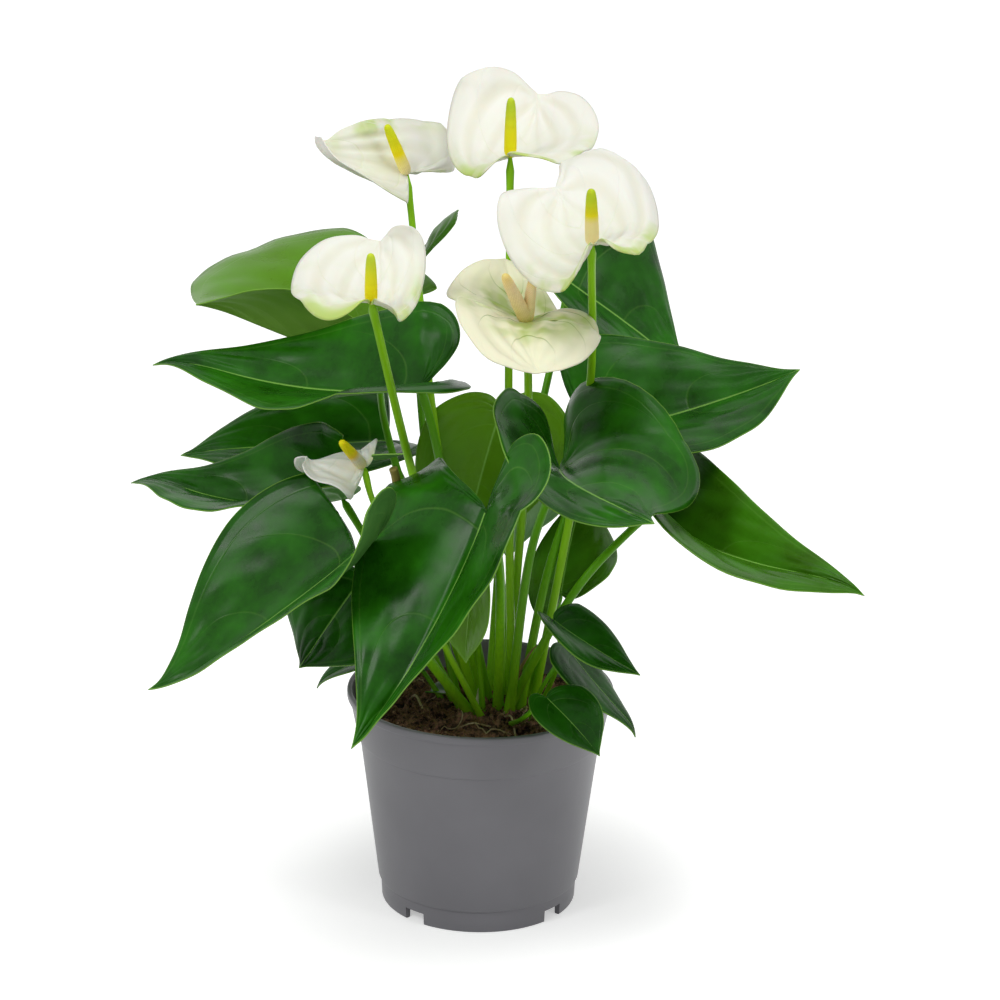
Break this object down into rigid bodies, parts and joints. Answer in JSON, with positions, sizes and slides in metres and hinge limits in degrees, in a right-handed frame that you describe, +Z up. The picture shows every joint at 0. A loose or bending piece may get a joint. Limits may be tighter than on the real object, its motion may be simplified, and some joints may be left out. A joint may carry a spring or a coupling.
{
  "type": "potted anthurium",
  "caption": "Compact flowering house plant in a round tapered nursery pot, with glossy heart-shaped leaves on long petioles and white spathes around upright yellow spadices.",
  "frame": {"origin": "point on the floor below the middle of the plant's bounding box, within 3 mm of the axis of the pot", "axes": "+Z up along the axis of the pot, -Y towards the front of the plant, +X to its right as seen from the front"},
  "size_m": [0.3201, 0.2771, 0.3686],
  "materials": {
    "pot": "satin moulded polypropylene, mid grey",
    "soil": null,
    "leaf": null,
    "stem": null,
    "spathe": null,
    "spadix": null
  },
  "bodies": {
    "root": {"leaf_01": "leaf", "leaf_02": "leaf", "leaf_03": "leaf", "leaf_04": "leaf", "leaf_05": "leaf", "leaf_06": "leaf", "leaf_07": "leaf", "leaf_08": "leaf", "leaf_09": "leaf", "leaf_10": "leaf", "leaf_11": "leaf", "leaf_12": "leaf", "leaf_13": "leaf", "leaf_14": "leaf", "leaf_15": "leaf", "leaf_16": "leaf", "leaf_17": "leaf", "leaf_18": "leaf", "leaf_19": "leaf", "leaf_20": "leaf", "peduncle_1": "stem", "peduncle_2": "stem", "peduncle_3": "stem", "peduncle_4": "stem", "peduncle_5": "stem", "peduncle_6": "stem", "petiole_01": "stem", "petiole_02": "stem", "petiole_03": "stem", "petiole_04": "stem", "petiole_05": "stem", "petiole_06": "stem", "petiole_07": "stem", "petiole_08": "stem", "petiole_09": "stem", "petiole_10": "stem", "petiole_11": "stem", "petiole_12": "stem", "petiole_13": "stem", "petiole_14": "stem", "petiole_15": "stem", "petiole_16": "stem", "petiole_17": "stem", "petiole_18": "stem", "petiole_19": "stem", "petiole_20": "stem", "pot": "pot", "soil": "soil", "spadix_1": "spadix", "spadix_2": "spadix", "spadix_3": "spadix", "spadix_4": "spadix", "spadix_5": "spadix", "spadix_6": "spadix", "spathe_1": "spathe", "spathe_2": "spathe", "spathe_3": "spathe", "spathe_4": "spathe", "spathe_5": "spathe", "spathe_6": "spathe"}
  },
  "joints": []
}
